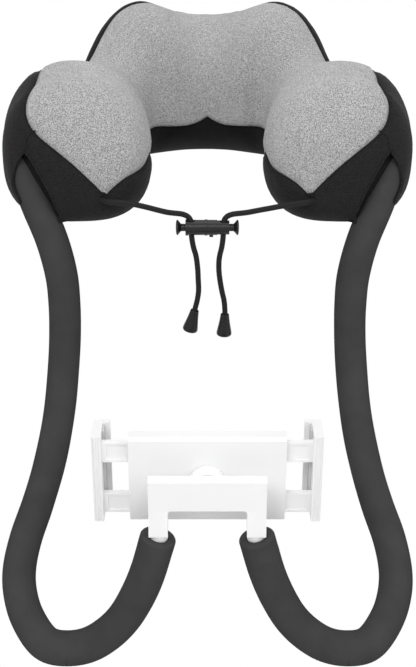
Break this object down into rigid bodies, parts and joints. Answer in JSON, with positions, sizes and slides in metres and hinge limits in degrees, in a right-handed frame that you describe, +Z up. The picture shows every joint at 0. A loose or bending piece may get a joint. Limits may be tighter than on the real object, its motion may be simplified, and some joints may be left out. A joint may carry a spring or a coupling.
{
  "type": "neck phone holder",
  "caption": "U-shaped neck pillow with a draw cord and two padded bendable arms that hook round to a sprung phone clamp on a ball joint.",
  "frame": {"origin": "middle of the neck opening, in the plane of the pillow's base", "axes": "+Z up, +X to the right as seen from in front of the clamp, -Y the way the wearer faces, towards the clamp"},
  "size_m": [0.3272, 0.4859, 0.414],
  "materials": {
    "memory_foam": "open-cell foam, matte, hidden under the cover",
    "heather_velour": "short-pile grey heather velour",
    "black_knit": "fine black polyester knit, matte",
    "zip_tape": "woven tape with nylon teeth",
    "zip_metal": "black lacquer",
    "black_cord": "braided polyester",
    "black_gloss_plastic": "glossy",
    "spring_steel": "bright",
    "black_foam": "smooth closed-cell foam with a soft sheen",
    "gooseneck_metal": "wound flexible conduit, hidden in its sleeve",
    "black_plastic": "matte",
    "white_plastic": "satin to glossy white",
    "grey_rubber": "soft rubber, hidden in the ball joint",
    "light_rubber": "soft anti-slip rubber"
  },
  "bodies": {
    "pillow": {"pillow_core": "memory_foam", "top_panel": "heather_velour", "base_panel": "black_knit", "pocket_liner_left": "black_knit", "pocket_liner_right": "black_knit", "zip_chain": "zip_tape", "draw_cord_left": "black_cord", "draw_cord_right": "black_cord", "cord_end_left": "black_gloss_plastic", "cord_end_right": "black_gloss_plastic", "lock_barrel_left": "black_gloss_plastic", "lock_barrel_right": "black_gloss_plastic", "lock_spring_left": "spring_steel", "lock_spring_right": "spring_steel", "sleeve_pocket_left": "black_foam", "sleeve_pocket_right": "black_foam", "sleeve_flex_left": "black_foam", "sleeve_flex_right": "black_foam", "gooseneck_pocket_left": "gooseneck_metal", "gooseneck_pocket_right": "gooseneck_metal", "gooseneck_flex_left": "gooseneck_metal", "gooseneck_flex_right": "gooseneck_metal", "arm_end_cap_left": "black_plastic", "arm_end_cap_right": "black_plastic"},
    "zip_slider": {"zip_slider": "zip_metal"},
    "zip_pull": {"zip_pull": "zip_metal"},
    "plunger_left": {"lock_plunger_left": "black_gloss_plastic"},
    "plunger_right": {"lock_plunger_right": "black_gloss_plastic"},
    "arms": {"sleeve_main_left": "black_foam", "sleeve_main_right": "black_foam", "gooseneck_main_left": "gooseneck_metal", "gooseneck_main_right": "gooseneck_metal"},
    "hooks": {"sleeve_hook_left": "black_foam", "sleeve_hook_right": "black_foam", "gooseneck_hook_left": "gooseneck_metal", "gooseneck_hook_right": "gooseneck_metal", "bracket": "white_plastic", "ball_stud": "white_plastic"},
    "ball_socket": {"ball_liner": "grey_rubber"},
    "clamp": {"back_shell": "white_plastic", "front_shell": "white_plastic", "front_pad": "light_rubber", "shell_screws": "spring_steel", "guide_rod": "spring_steel", "jaw_spring_left": "spring_steel", "jaw_spring_right": "spring_steel"},
    "nut": {"ring_nut": "white_plastic"},
    "jaw_left": {"jaw_left": "white_plastic", "jaw_pad_left": "light_rubber"},
    "jaw_right": {"jaw_right": "white_plastic", "jaw_pad_right": "light_rubber"}
  },
  "joints": [
    {"name": "arms_bend", "type": "hinge", "parent": "pillow", "child": "arms", "pos_m": [0, -0.106, -0.04], "axis": [-1, 0, 0], "range_deg": [-15, 30], "deforming": ["sleeve_flex_left", "sleeve_flex_right", "gooseneck_flex_left", "gooseneck_flex_right"]},
    {"name": "hook_bend", "type": "hinge", "parent": "arms", "child": "hooks", "pos_m": [0, -0.291, -0.2613], "axis": [-1, 0, 0], "range_deg": [-25, 25]},
    {"name": "clamp_tilt", "type": "hinge", "parent": "hooks", "child": "ball_socket", "pos_m": [0, -0.2735, -0.13], "axis": [1, 0, 0], "range_deg": [-6, 21]},
    {"name": "clamp_swivel", "type": "hinge", "parent": "ball_socket", "child": "clamp", "pos_m": [0, -0.2735, -0.13], "axis": [0, 1, 0], "continuous": true},
    {"name": "nut_turn", "type": "hinge", "parent": "clamp", "child": "nut", "pos_m": [0, -0.2735, -0.13], "axis": [0, 1, 0], "range_deg": [0, 180]},
    {"name": "jaw_left_slide", "type": "slide", "parent": "clamp", "child": "jaw_left", "axis": [-1, 0, 0], "range_m": [-0.017, 0.018], "stiffness_N_per_m": 60, "springref_m": -0.017, "deforming": ["jaw_spring_left"]},
    {"name": "jaw_right_slide", "type": "slide", "parent": "clamp", "child": "jaw_right", "axis": [1, 0, 0], "range_m": [-0.017, 0.018], "stiffness_N_per_m": 60, "springref_m": -0.017, "deforming": ["jaw_spring_right"]},
    {"name": "lock_plunger_left", "type": "slide", "parent": "pillow", "child": "plunger_left", "axis": [1, 0, 0], "range_m": [0, 0.0025], "stiffness_N_per_m": 250, "springref_m": -0.002, "deforming": ["lock_spring_left"]},
    {"name": "lock_plunger_right", "type": "slide", "parent": "pillow", "child": "plunger_right", "axis": [-1, 0, 0], "range_m": [0, 0.0025], "stiffness_N_per_m": 250, "springref_m": -0.002, "deforming": ["lock_spring_right"]},
    {"name": "zip_slide", "type": "hinge", "parent": "pillow", "child": "zip_slider", "pos_m": [0, -0.008, 0.034], "axis": [0, 0, 1], "range_deg": [0, 32]},
    {"name": "zip_pull_swing", "type": "hinge", "parent": "zip_slider", "child": "zip_pull", "pos_m": [0.05314, 0.17733, 0.034], "axis": [0.9613, -0.2756, 0], "range_deg": [0, 150]}
  ]
}
